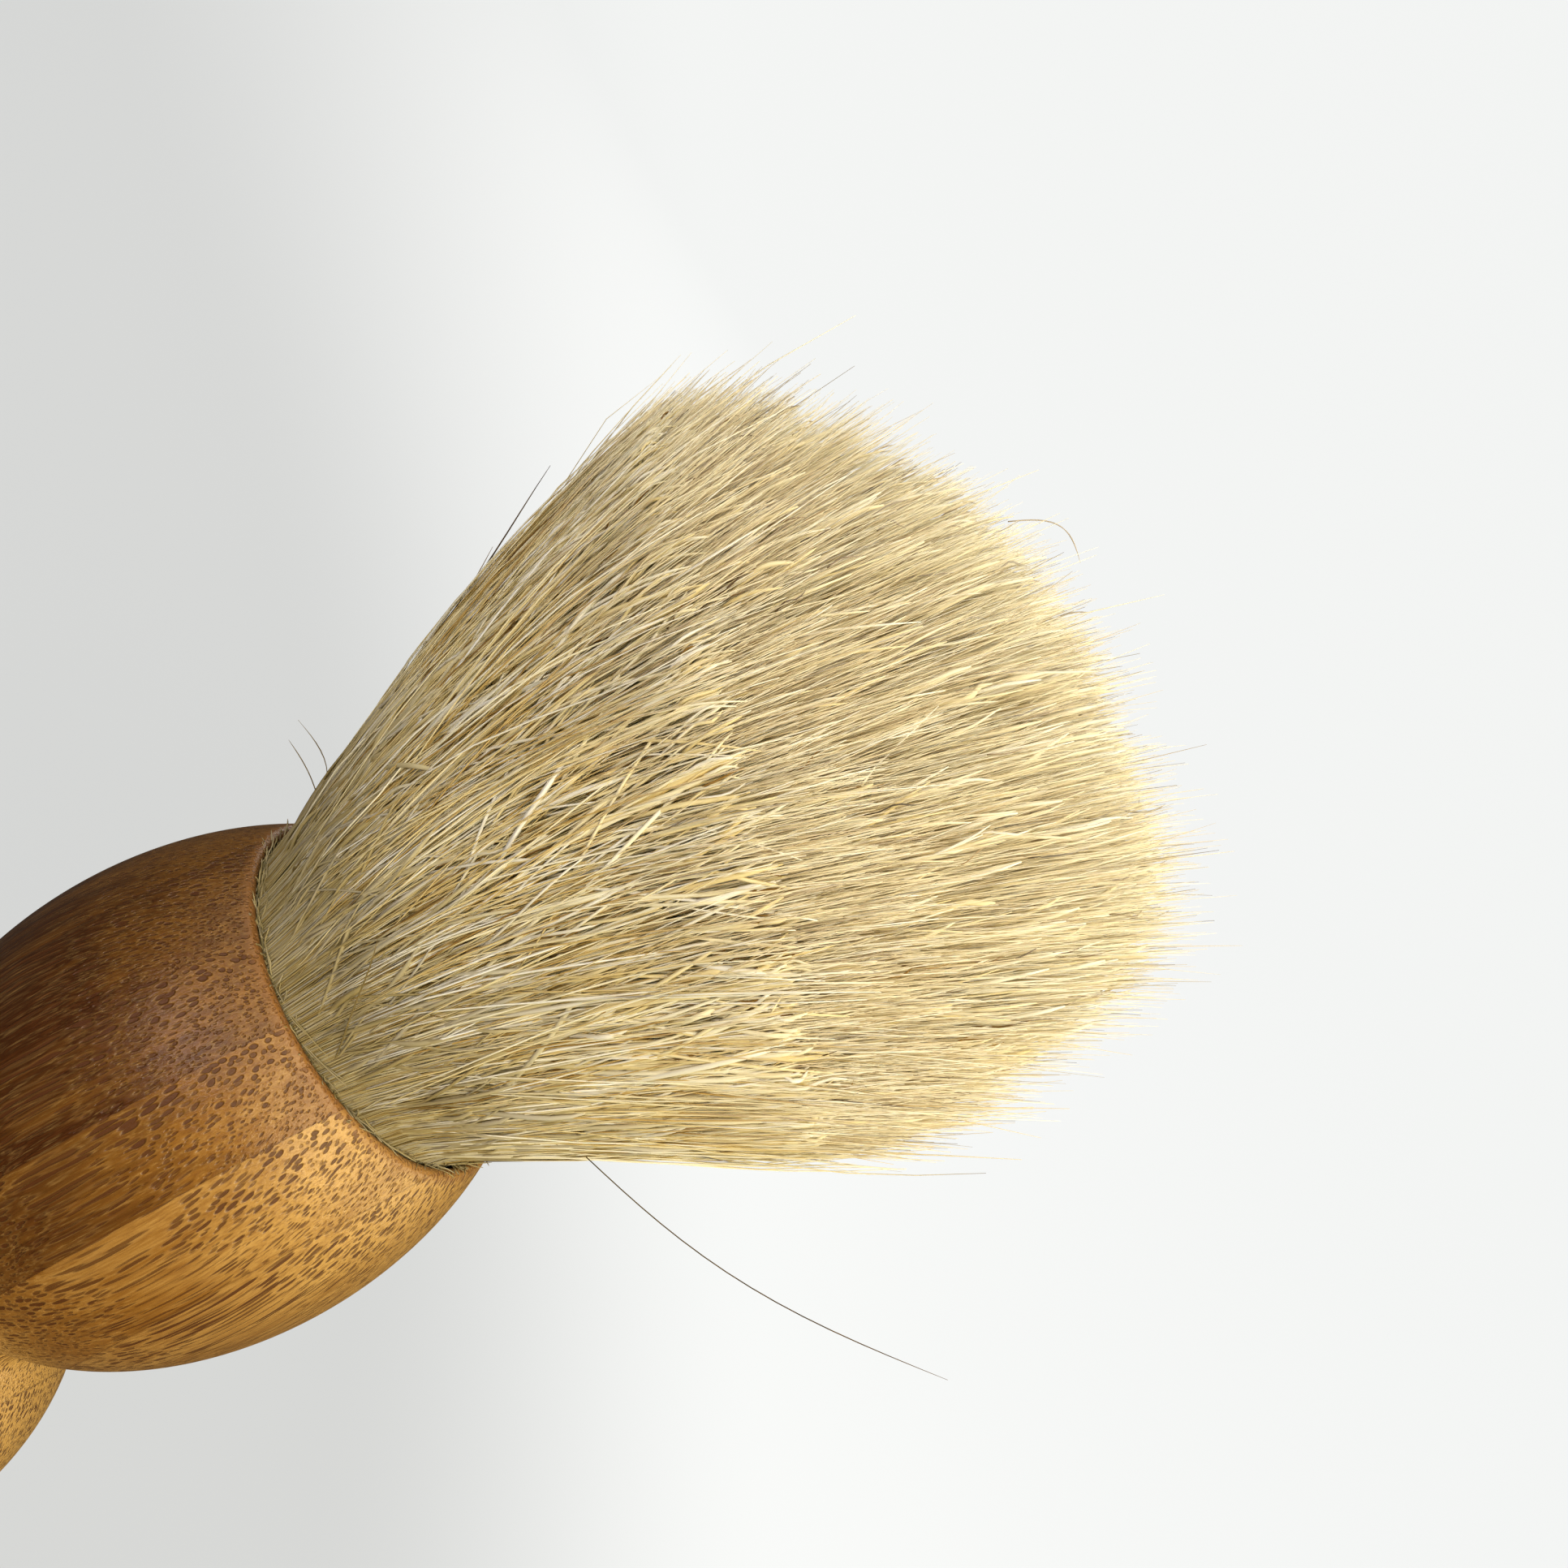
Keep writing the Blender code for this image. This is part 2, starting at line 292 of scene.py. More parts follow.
def bamboo_material(layer):
    """Bamboo of one strip: fibre bundles run along Z, large and dark at the strip's -X side."""
    made, tree, shader = new_material(f"bamboo_{layer + 1}")
    millimetres = scaled_position(tree, (1.0 / MM, 1.0 / MM, 1.0 / MM))
    x, y, z = add_node(tree, "ShaderNodeSeparateXYZ", {0: millimetres}).outputs
    low_mm = (layer - STRIP_COUNT / 2) * STRIP_PITCH / MM
    across = maths(tree, "DIVIDE", minus(tree, x, low_mm), STRIP_PITCH / MM)

    bundle_x, bundle_y = bundle_places(tree, layer, x, y)
    coarse_size = remap(tree, across, 0.05, 1.0, 0.39, 0.18)
    coarse, coarse_chance = bundle_pits(tree, bundle_x, bundle_y, (0.46, 0.30), 0.80, coarse_size)
    fine_size = remap(tree, across, 0.20, 0.50, 0.0, 0.25)
    fine, fine_chance = bundle_pits(tree, bundle_x, bundle_y, (0.38, 0.27), 0.85, fine_size)
    coarse_pit = remap(tree, coarse, -0.05, 0.12)
    fine_pit = remap(tree, fine, -0.04, 0.10)
    coarse_depth = times(tree, coarse_pit, remap(tree, coarse_chance, 0.0, 1.0, 0.55, 0.92))
    fine_depth = times(tree, fine_pit, remap(tree, fine_chance, 0.0, 1.0, 0.30, 0.72))
    depth = maths(tree, "MAXIMUM", coarse_depth, fine_depth)

    grain = noise(tree, along_strip(6.0, 0.30), 3.0, 0.65).outputs["Fac"]
    colour = bamboo_ground(tree, layer, z, grain)
    colour = blend_colours(tree, remap(tree, coarse, -0.24, -0.02, 0.0, 0.10), colour, BAMBOO_PALE)
    colour = blend_colours(tree, depth, colour, BAMBOO_PIT)
    edge = maths(tree, "MINIMUM", across, minus(tree, 1.0, across))
    colour = blend_colours(tree, remap(tree, edge, 0.0, 0.018, 0.30, 0.0), colour, BAMBOO_GLUE_LINE)
    over_lip = minus(tree, z, (RIM_Z - 0.9 * MM) / MM)
    colour = blend_colours(tree, remap(tree, over_lip, 0.0, 0.8, 0.0, 0.55), colour, BAMBOO_LIP_STAIN)
    feed(tree, shader.inputs["Base Color"], colour)

    rough = plus(tree, remap(tree, grain, 0.2, 0.8, 0.24, 0.35), times(tree, depth, 0.20))
    feed(tree, shader.inputs["Roughness"], rough)
    height = minus(tree, times(tree, grain, 0.55), depth)
    bump = add_node(tree, "ShaderNodeBump", {"Strength": 0.75, "Distance": 0.14 * MM, "Height": height})
    feed(tree, shader.inputs["Normal"], bump.outputs[0])
    shader.inputs["Specular IOR Level"].default_value = 0.42
    shader.inputs["Specular Tint"].default_value = (1.0, 0.88, 0.72, 1.0)
    return made


def attribute(tree, name):
    return add_node(tree, "ShaderNodeAttribute", {}, attribute_name=name).outputs["Fac"]


def hair_material():
    """Natural hair: each hair's tone, mottled along its length, darker at root and at some tips. Painted
    shade rides on the tone and the dark marks: side hairs that lie deeper get a darker tone, and the dark
    dashes along hairs stand partly for painted shadow in the gaps between them.
    """
    made, tree, shader = new_material("natural_hair")
    along = attribute(tree, "along")
    mottle = noise(tree, (700.0, 700.0, 240.0)).outputs["Fac"]
    tone = plus(tree, attribute(tree, "tone"), times(tree, minus(tree, mottle, 0.5), 0.22))
    colour = ramp(tree, tone, HAIR_RAMP)
    colour = blend_colours(tree, remap(tree, along, 0.05, 0.60, 0.85, 0.0), colour, HAIR_ROOT)
    colour = blend_colours(tree, remap(tree, along, 0.70, 1.0, 0.0, 0.45), colour, HAIR_TIP)
    # Dark tips, and dark dashes that are partly painted shadow in the gaps between hairs
    colour = blend_colours(tree, attribute(tree, "stain_and_shade"), colour, HAIR_STAIN_AND_SHADE)
    feed(tree, shader.inputs["Base Color"], colour)
    feed(tree, shader.inputs["Roughness"], remap(tree, mottle, 0.2, 0.8, 0.58, 0.72))
    shader.inputs["Specular IOR Level"].default_value = 0.10
    shader.inputs["Specular Tint"].default_value = (1.0, 0.80, 0.45, 1.0)
    return made


def speckled_material(name, light, dark, scale, roughness, bump_mm):
    """A cast or spun material of the knot's inside: two tones in fine noise, with a slight relief."""
    made, tree, shader = new_material(name)
    grain = noise(tree, scale, 4.0, 0.6).outputs["Fac"]
    feed(tree, shader.inputs["Base Color"], blend_colours(tree, grain, (*light, 1.0), dark))
    feed(tree, shader.inputs["Roughness"], remap(tree, grain, 0.2, 0.8, roughness - 0.08, roughness + 0.08))
    bump = add_node(tree, "ShaderNodeBump", {"Strength": 0.5, "Distance": bump_mm * MM, "Height": grain})
    feed(tree, shader.inputs["Normal"], bump.outputs[0])
    return made


# ---------------------------------------------------------------- handle


def ellipse_radius(z, centre_z, radius, half_height):
    return radius * math.sqrt(1.0 - ((z - centre_z) / half_height) ** 2)


def ellipse_slope(z, centre_z, radius, half_height):
    """Change of the ellipse's radius with z."""
    steepness = (radius / half_height) ** 2
    return -steepness * (z - centre_z) / ellipse_radius(z, centre_z, radius, half_height)


def head_radius(z):
    return ellipse_radius(z, HEAD_CENTRE_Z, HEAD_RADIUS, HEAD_HALF_HEIGHT)


def body_radius(z):
    half_height = BODY_UPPER_HALF_HEIGHT if z > BODY_CENTRE_Z else BODY_LOWER_HALF_HEIGHT
    return ellipse_radius(z, BODY_CENTRE_Z, BODY_RADIUS, half_height)


def spaced(first, last, count):
    return [first + (last - first) * i / (count - 1) for i in range(count)]


def waist_curve(count):
    """Quadratic curve that joins the body to the head, tangent to both."""
    low = (body_radius(WAIST_BOTTOM_Z), WAIST_BOTTOM_Z)
    high = (head_radius(WAIST_TOP_Z), WAIST_TOP_Z)
    low_slope = ellipse_slope(WAIST_BOTTOM_Z, BODY_CENTRE_Z, BODY_RADIUS, BODY_UPPER_HALF_HEIGHT)
    high_slope = ellipse_slope(WAIST_TOP_Z, HEAD_CENTRE_Z, HEAD_RADIUS, HEAD_HALF_HEIGHT)
    meet_z = (high[0] - low[0] + low_slope * low[1] - high_slope * high[1]) / (low_slope - high_slope)
    meet = (low[0] + low_slope * (meet_z - low[1]), meet_z)
    points = []
    for t in spaced(0.0, 1.0, count)[1:-1]:
        weighted = list(zip(((1 - t) ** 2, 2 * t * (1 - t), t * t), (low, meet, high)))
        points.append(tuple(sum(weight * point[axis] for weight, point in weighted) for axis in (0, 1)))
    return points


def lip_arc():
    """The head's last z, and the arc from there over the lip to the socket's wall."""
    centre_z = RIM_Z - LIP_RADIUS
    start = math.atan(-ellipse_slope(centre_z, HEAD_CENTRE_Z, HEAD_RADIUS, HEAD_HALF_HEIGHT))
    head_top_z = centre_z + LIP_RADIUS * math.sin(start)
    centre_r = head_radius(head_top_z) - LIP_RADIUS * math.cos(start)
    arc = [
        (centre_r + LIP_RADIUS * math.cos(a), centre_z + LIP_RADIUS * math.sin(a))
        for a in spaced(start, math.pi, 12)[1:]
    ]
    return head_top_z, arc


def handle_outline():
    """Outer side of the handle from the foot up, over the lip and down into the socket."""
    head_top_z, lip = lip_arc()
    edge_r = body_radius(FOOT_EDGE_RADIUS) - FOOT_EDGE_RADIUS
    outline = [(0.0, FOOT_Z), (edge_r * 0.5, FOOT_Z)]
    outline += [
        (edge_r + FOOT_EDGE_RADIUS * math.sin(a), FOOT_EDGE_RADIUS * (1 - math.cos(a)))
        for a in spaced(0.0, math.pi / 2, 10)
    ]
    outline += [(body_radius(z), z) for z in spaced(FOOT_EDGE_RADIUS, WAIST_BOTTOM_Z, 48)[1:]]
    outline += waist_curve(16)
    outline += [(head_radius(z), z) for z in spaced(WAIST_TOP_Z, head_top_z, 56)]
    outline += lip
    floor_z = RIM_Z - SOCKET_DEPTH
    outline += [(lip[-1][0], z) for z in spaced(RIM_Z - 2 * LIP_RADIUS, floor_z, 8)]
    outline.append((0.0, floor_z))
    return outline


def turned_bmesh(outline, segments):
    """A bmesh turned round Z from an outline of (radius, z) points."""
    bm = bmesh.new()
    points = [bm.verts.new((radius, 0.0, z)) for radius, z in outline]
    edges = [bm.edges.new(pair) for pair in zip(points, points[1:])]
    bmesh.ops.spin(
        bm,
        geom=points + edges,
        cent=(0.0, 0.0, 0.0),
        axis=(0.0, 0.0, 1.0),
        angle=math.tau,
        steps=segments,
        use_merge=True,
    )
    bmesh.ops.remove_doubles(bm, verts=bm.verts[:], dist=MERGE_DISTANCE)
    return bm


def keep_above(bm, axis, level):
    """Cuts the mesh at a plane, keeps what is above it along the axis, and closes the cut."""
    normal = Vector((0.0, 0.0, 0.0))
    normal[axis[0]] = axis[1]
    point = Vector((0.0, 0.0, 0.0))
    point[axis[0]] = level
    geometry = bm.verts[:] + bm.edges[:] + bm.faces[:]
    cut = bmesh.ops.bisect_plane(
        bm, geom=geometry, plane_co=point, plane_no=normal, clear_inner=True, dist=MERGE_DISTANCE
    )
    rim = [item for item in cut["geom_cut"] if isinstance(item, bmesh.types.BMEdge) and item.is_boundary]
    bmesh.ops.holes_fill(bm, edges=rim, sides=0)


def add_piece(name, mesh, material, slot, *nodes):
    """Puts a finished mesh in the scene as a piece that stands for CAD nodes."""
    piece = bpy.data.objects.new(name, mesh)
    bpy.context.scene.collection.objects.link(piece)
    mesh.materials.append(material)
    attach(piece, "root")
    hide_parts(*nodes)


def strip_limits(layer):
    """Low and high X of a strip, with a hair's breadth left for the glue."""
    low = (layer - STRIP_COUNT / 2) * STRIP_PITCH
    glue = 0.003 * MM
    return low + glue, low + STRIP_PITCH - glue


def make_strip(blank, layer, part, material):
    """One bamboo strip, cut from the turned blank. The waist parts the outer ones in head and foot."""
    bm = blank.copy()
    low, high = strip_limits(layer)
    keep_above(bm, (0, 1.0), low)
    keep_above(bm, (0, -1.0), high)
    waist_z = (WAIST_TOP_Z + WAIST_BOTTOM_Z) / 2
    if part:
        sign = 1.0 if part == "head" else -1.0
        gone = [v for v in bm.verts if (v.co.z - waist_z) * sign < 0]
        bmesh.ops.delete(bm, geom=gone, context="VERTS")
    bmesh.ops.recalc_face_normals(bm, faces=bm.faces[:])
    suffix = f"_{part}" if part else ""
    mesh = bpy.data.meshes.new(f"strip_{layer + 1}{suffix}")
    bm.to_mesh(mesh)
    bm.free()
    mesh.shade_smooth()
    mesh.set_sharp_from_angle(angle=math.radians(38))
    name = f"turned_strip_{layer + 1}{suffix}"
    add_piece(name, mesh, material, "bamboo", f"bamboo_strip_{layer + 1}{suffix}")


def make_handle():
    blank = turned_bmesh(handle_outline(), HANDLE_SEGMENTS)
    bmesh.ops.recalc_face_normals(blank, faces=blank.faces[:])
    for layer in range(STRIP_COUNT):
        material = bamboo_material(layer)
        parts = ("head", "foot") if layer in (0, STRIP_COUNT - 1) else ("",)
        for part in parts:
            make_strip(blank, layer, part, material)
    blank.free()


# ---------------------------------------------------------------- hair


def side_radius(height):
    return TUFT_RIM_RADIUS + TUFT_FLARE * height - TUFT_FLARE_DROP * height**2


def dome_height(share, angle):
    """Height of the tips above the rim, at a share of the tuft's radius. The hair ends lowest at +X."""
    edge = TUFT_SHOULDER - TUFT_SHOULDER_FALL.x * np.cos(angle) - TUFT_SHOULDER_FALL.y * np.sin(angle)
    tilt = TUFT_TILT * share * (1.0 - share) * np.cos(angle)
    return edge + (TUFT_TIP_HEIGHT - edge) * (1.0 - share**DOME_POWER) + tilt


def flow(share, angle, height):
    """Points on the hair's lines of flow, by share of the radius, angle and height above the rim."""
    above = np.maximum(height, 0.0)
    fuller = -np.cos(angle) * np.minimum(above / TUFT_HEIGHT * 1.3, 1.0)
    spread = side_radius(above) * (1.0 + TUFT_FULL_SIDE * fuller) + np.minimum(height, 0.0) * SOCKET_TAPER
    lean = (above / TUFT_HEIGHT) ** LEAN_POWER
    return np.stack(
        [
            share * spread * np.cos(angle) + TUFT_LEAN.x * lean,
            share * spread * np.sin(angle) + TUFT_LEAN.y * lean,
            RIM_Z + height,
        ],
        axis=-1,
    )


def bend(count, rings, amount):
    """Slow sideways waves for each hair, zero at its root: an (x, y, 0) offset at each ring."""
    t = np.linspace(0.0, 1.0, rings)[None, :, None]
    phase = rng.uniform(0.0, math.tau, (count, 1, 2))
    waves = rng.uniform(0.5, 1.5, (count, 1, 2))
    size = rng.normal(0.0, amount, (count, 1, 2))
    offset = size * (np.sin(math.tau * waves * t + phase) - np.sin(phase)) * t
    return np.concatenate([offset, np.zeros((count, rings, 1))], axis=2)


def tube_mesh(name, lines, radii, sides, values):
    """Closed tapered tubes along lines of (count, rings, 3) points, as one mesh."""
    tangent = np.gradient(lines, axis=1)
    tangent /= np.linalg.norm(tangent, axis=2, keepdims=True) + 1e-12
    turn = rng.uniform(0.0, math.tau, (len(lines), 1))
    reference = np.stack([np.cos(turn), np.sin(turn), np.zeros_like(turn)], axis=-1)
    first = np.cross(tangent, np.broadcast_to(reference, tangent.shape))
    first /= np.linalg.norm(first, axis=2, keepdims=True) + 1e-12
    second = np.cross(tangent, first)
    angles = np.arange(sides) * math.tau / sides
    around = (
        first[:, :, None, :] * np.cos(angles)[None, None, :, None]
        + second[:, :, None, :] * np.sin(angles)[None, None, :, None]
    )
    return skinned_mesh(name, lines[:, :, None, :] + around * radii[:, :, None, None], values)


def skinned_mesh(name, points, values):
    """Closed tubes through rings of points, of shape (count, rings, sides, 3), as one mesh.

    values holds one number per tube, or per tube and ring, for each attribute.
    """
    count, rings, sides, _ = points.shape
    ring = np.arange(sides)
    following = (ring + 1) % sides
    base = np.arange(rings - 1)[:, None] * sides
    quads = np.stack(
        [base + ring, base + following, base + following + sides, base + ring + sides], axis=-1
    ).reshape(-1, 4)
    tube_start = np.arange(count)[:, None] * rings * sides
    side_faces = (quads[None] + tube_start[:, :, None]).reshape(-1, 4)
    caps = np.concatenate([ring[::-1] + tube_start, ring + tube_start + (rings - 1) * sides])

    mesh = bpy.data.meshes.new(name)
    mesh.vertices.add(points.size // 3)
    mesh.vertices.foreach_set("co", points.astype(np.float32).ravel())
    corners = np.concatenate([side_faces.ravel(), caps.ravel()])
    mesh.loops.add(len(corners))
    mesh.loops.foreach_set("vertex_index", corners.astype(np.int32))
    sizes = np.concatenate([np.full(len(side_faces), 4), np.full(len(caps), sides)])
    starts = np.concatenate([[0], np.cumsum(sizes)[:-1]])
    mesh.polygons.add(len(sizes))
    mesh.polygons.foreach_set("loop_start", starts.astype(np.int32))
    mesh.polygons.foreach_set("use_smooth", np.ones(len(sizes), bool))
    mesh.update(calc_edges=True)
    for key, value in values.items():
        if value.ndim == 1:
            value = np.broadcast_to(value[:, None], (count, rings))
        layer = mesh.attributes.new(key, "FLOAT", "POINT")
        layer.data.foreach_set("value", np.repeat(value.ravel(), sides).astype(np.float32))
    add_hair_layout(mesh, count, rings, sides, corners)
    return mesh


def add_hair_layout(mesh, count, rings, sides, corners):
    """A UV layout with one narrow cell for each hair, root at its foot."""
    columns = int(math.ceil(math.sqrt(count)))
    hair, rest = np.divmod(corners, rings * sides)
    ring, side = np.divmod(rest, sides)
    column, row = hair % columns, hair // columns
    u = (column + 0.2 + 0.6 * side / max(sides - 1, 1)) / columns
    v = (row + 0.1 + 0.8 * ring / (rings - 1)) / columns
    layer = mesh.uv_layers.new(name="OFBake")
    layer.data.foreach_set("uv", np.stack([u, v], axis=-1).astype(np.float32).ravel())


def taper(count, rings, radius, tip_share=0.3, tip_length=0.25):
    """Radius at each ring: even to near the tip, then narrowing."""
    t = np.linspace(0.0, 1.0, rings)[None, :]
    narrowing = np.clip((t - 1.0 + tip_length) / tip_length, 0.0, 1.0)
    return radius[:, None] * (1.0 - (1.0 - tip_share) * narrowing**1.5) * np.ones((count, rings))


def hair_tones(wisp_tone):
    """Each hair's tone about its wisp's, with some white and some brown hairs among them."""
    count = len(wisp_tone)
    tone = wisp_tone + rng.normal(0.0, 0.14, count)
    chance = rng.uniform(0.0, 1.0, count)
    tone = np.where(chance < 0.07, rng.uniform(0.85, 1.0, count), tone)
    tone = np.where(chance > 0.955, rng.uniform(0.16, 0.34, count), tone)
    tone = np.where(chance > 0.992, rng.uniform(-0.05, 0.08, count), tone)
    return tone


def stains_and_gap_shade(count, rings, tips, dashes):
    """Dark marks: on the tips of some hairs, and as short dashes along others. The dashes stand partly for
    brown marks on the hairs and partly for painted shadow in the gaps between hairs.
    """
    stain_and_shade = np.zeros((count, rings))
    stain_and_shade[:, -1] = (rng.uniform(0.0, 1.0, count) < tips) * rng.uniform(0.5, 1.0, count)
    stain_and_shade[:, -2] = stain_and_shade[:, -1] * 0.35
    marked = np.nonzero(rng.uniform(0.0, 1.0, count) < dashes)[0]
    stain_and_shade[marked, rng.integers(1, rings - 1, len(marked))] = rng.uniform(0.5, 1.0, len(marked))
    return stain_and_shade


def side_hairs(count, wisps, rings):
    """Full-length hairs of the outer layers, gathered in wisps that cross at small angles."""
    wisp_angle = rng.uniform(0.0, math.tau, wisps)
    wisp_share = 0.85 + 0.15 * rng.uniform(0.0, 1.0, wisps) ** 0.7
    wisp_tilt = rng.normal(0.0, 0.115, wisps)
    wisp_lift = rng.normal(0.0, 0.008, wisps)
    wisp_start = rng.uniform(-4.0, 30.0, wisps) * MM
    wisp_gather = rng.uniform(0.2, 0.85, wisps)
    wisp_tone = rng.normal(0.54, 0.13, wisps) + np.where(rng.uniform(0.0, 1.0, wisps) < 0.12, 0.28, 0.0)
    wisp_length = rng.normal(0.0, 1.1 * MM, wisps)
    wisp_waves = rng.uniform(0.6, 2.2, (wisps, 1))
    wisp_phase = rng.uniform(0.0, math.tau, (wisps, 1))

    wisp = rng.integers(0, wisps, count)
    loose = rng.uniform(0.0, 1.0, count) < LOOSE_SHARE
    free_angle = rng.uniform(0.0, math.tau, count)
    angle = np.where(loose, free_angle, wisp_angle[wisp] + rng.normal(0.0, 0.055, count))
    guide_angle = np.where(loose, free_angle, wisp_angle[wisp])
    share = np.clip(wisp_share[wisp] + rng.normal(0.0, 0.035, count), 0.70, 1.0)

    # A few hairs are short and a few stand out of the dome
    short = rng.uniform(0.0, 1.0, count) < 0.10
    spike = np.where(rng.uniform(0.0, 1.0, count) < 0.14, rng.exponential(1.2 * MM, count), 0.0)
    top = dome_height(share, angle) + rng.normal(0.0, 0.8 * MM, count) + spike
    top = top + np.where(loose, 0.0, wisp_length[wisp])
    top = np.where(short, top * rng.uniform(0.55, 0.95, count), top)
    t = np.linspace(0.0, 1.0, rings)[None, :]
    height = -ROOT_DEPTH + (top[:, None] + ROOT_DEPTH) * t
    risen = np.clip(height / TUFT_SHOULDER, 0.0, 1.0)

    # Packed tight and level at the rim, the hairs part into wisps that weave over and under each other
    gather = np.where(loose, 0.0, wisp_gather[wisp])[:, None] * risen**0.9
    angle = angle[:, None] + (guide_angle - angle)[:, None] * gather
    share_line = share[:, None] + (wisp_share[wisp] - share)[:, None] * gather * (~loose)[:, None]
    weave = np.sin(math.tau * wisp_waves[wisp] * t + wisp_phase[wisp] + rng.normal(0.0, 0.5, (count, 1)))
    share_line = 1.0 - (1.0 - share_line - WEAVE_SHARE * weave) * (0.25 + 0.75 * risen**0.7)
    lines = flow(np.minimum(share_line, 1.0), angle, height)

    # Each wisp and each loose hair slants off to one side, and in or out, from its own height on
    tilt = np.where(loose, rng.normal(0.0, 0.12, count), wisp_tilt[wisp] + rng.normal(0.0, 0.016, count))
    begin = np.where(loose, rng.uniform(0.0, 20.0, count) * MM, wisp_start[wisp])
    run = np.maximum(height - begin[:, None], 0.0)
    side = np.stack([-np.sin(angle), np.cos(angle), np.zeros_like(angle)], axis=-1)
    outward = np.stack([np.cos(angle), np.sin(angle), np.zeros_like(angle)], axis=-1)
    lift = np.where(loose, rng.normal(0.0, 0.010, count), wisp_lift[wisp] + rng.normal(0.0, 0.006, count))
    lines = lines + side * (tilt[:, None] * run)[..., None] + outward * (lift[:, None] * run)[..., None]
    lines = lines + bend(count, rings, 0.28 * MM)

    tone = hair_tones(np.where(loose, rng.normal(0.54, 0.10, count), wisp_tone[wisp]))
    # Painted shade: a hair that lies deeper in the tuft gets a darker tone, for the shade among the hairs
    tone = tone - 1.1 * (0.97 - share)  # The deeper a hair lies, the darker it is
    radius = np.where(tone > 0.75, 1.35, 1.0) * rng.uniform(0.040, 0.066, count) * MM
    along = np.broadcast_to(t, (count, rings))
    values = {"tone": tone, "along": along, "stain_and_shade": stains_and_gap_shade(count, rings, 0.10, 0.05)}
    return lines, taper(count, rings, radius), values, angle[:, 0]


def dome_hairs(count, wisps, rings, reach):
    """The upper ends of the inner hairs, whose tips make the dome."""
    wisp_share = np.sqrt(rng.uniform(0.0, 0.90, wisps))
    wisp_angle = rng.uniform(0.0, math.tau, wisps)
    wisp_tone = rng.normal(0.56, 0.11, wisps)
    wisp_length = rng.normal(0.0, 0.9 * MM, wisps)
    wisp_gather = rng.uniform(0.1, 0.75, wisps)
    wisp_tilt = rng.normal(0.0, 0.06, (wisps, 2))

    wisp = rng.integers(0, wisps, count)
    spread = rng.normal(0.0, 0.035, (count, 2))
    guide = np.stack([wisp_share * np.cos(wisp_angle), wisp_share * np.sin(wisp_angle)], axis=-1)[wisp]
    spot = guide + spread
    share = np.minimum(np.hypot(spot[:, 0], spot[:, 1]), 0.97)
    top = dome_height(share, np.arctan2(spot[:, 1], spot[:, 0]))
    spike = np.where(rng.uniform(0.0, 1.0, count) < 0.10, rng.exponential(0.9 * MM, count), 0.0)
    top = top + rng.normal(0.0, 0.9 * MM, count) + wisp_length[wisp] + spike
    t = np.linspace(0.0, 1.0, rings)[None, :]
    height = top[:, None] - reach * (1.0 - t)
    gather = (wisp_gather[wisp][:, None] * t**1.5)[..., None]
    spot_line = spot[:, None, :] + (guide - spot)[:, None, :] * gather
    share_line = np.hypot(spot_line[..., 0], spot_line[..., 1])
    angle_line = np.arctan2(spot_line[..., 1], spot_line[..., 0])
    lines = flow(share_line, angle_line, height)
    tilt = (wisp_tilt[wisp] + rng.normal(0.0, 0.03, (count, 2)))[:, None, :] * (reach * t)[..., None]
    lines[..., :2] += tilt
    lines = lines + bend(count, rings, 0.22 * MM)
    radius = rng.uniform(0.034, 0.054, count) * MM
    along = 1.0 - reach * (1.0 - t) / (top[:, None] + ROOT_DEPTH)
    tone = hair_tones(wisp_tone[wisp])
    values = {"tone": tone, "along": along, "stain_and_shade": stains_and_gap_shade(count, rings, 0.13, 0.02)}
    return lines, taper(count, rings, radius, tip_share=0.25, tip_length=0.4), values, angle_line[:, 0]


def surface_lines(rows, share, stand_off_mm):
    """Lines along the hair's flow at a share of the radius, and how far off that they stand.

    Each row is (angle at its foot, angle at its end, foot height, end height) in degrees and millimetres.
    """
    t = np.linspace(0.0, 1.0, stand_off_mm.shape[1])[None, :]
    angle = np.radians(rows[:, 0, None] + (rows[:, 1] - rows[:, 0])[:, None] * t)
    height = (rows[:, 2, None] + (rows[:, 3] - rows[:, 2])[:, None] * t) * MM
    lines = flow(share, angle, height)
    lines[..., 0] += stand_off_mm * MM * np.cos(angle)
    lines[..., 1] += stand_off_mm * MM * np.sin(angle)
    return lines


def crossing_hairs(rings):
    """The long loose hairs that lie across the outside of the tuft, each one listed.

    Each is (angle at its foot, angle at its end, foot height, end height, lift at its end, tone),
    in degrees and millimetres.
    """
    rows = np.array(
        [
            (-77.0, -81.0, -1.0, 30.0, 0.5, 1.00),
            (-76.0, -78.5, -1.0, 24.0, 0.4, 0.95),
            (-83.0, -82.0, -1.0, 17.0, 0.4, 0.98),
            (-71.0, -95.0, -0.5, 11.0, 0.8, 0.02),
            (-160.0, -155.0, 8.0, 35.0, 2.2, 0.02),
            (-168.0, -164.0, 12.0, 27.0, 1.4, 0.12),
            (-24.0, -21.0, 4.0, 30.0, 0.6, 0.60),
            (-17.0, -20.0, 8.0, 33.0, 0.6, 0.70),
            (-150.0, -146.0, 16.0, 36.0, 1.0, 0.10),
        ]
    )
    t = np.linspace(0.0, 1.0, rings)[None, :]
    lines = surface_lines(rows, 1.0, 0.12 + rows[:, 4, None] * t**2) + bend(len(rows), rings, 0.30 * MM)
    return lines, rows[:, 5], rng.uniform(0.045, 0.060, len(rows)) * MM


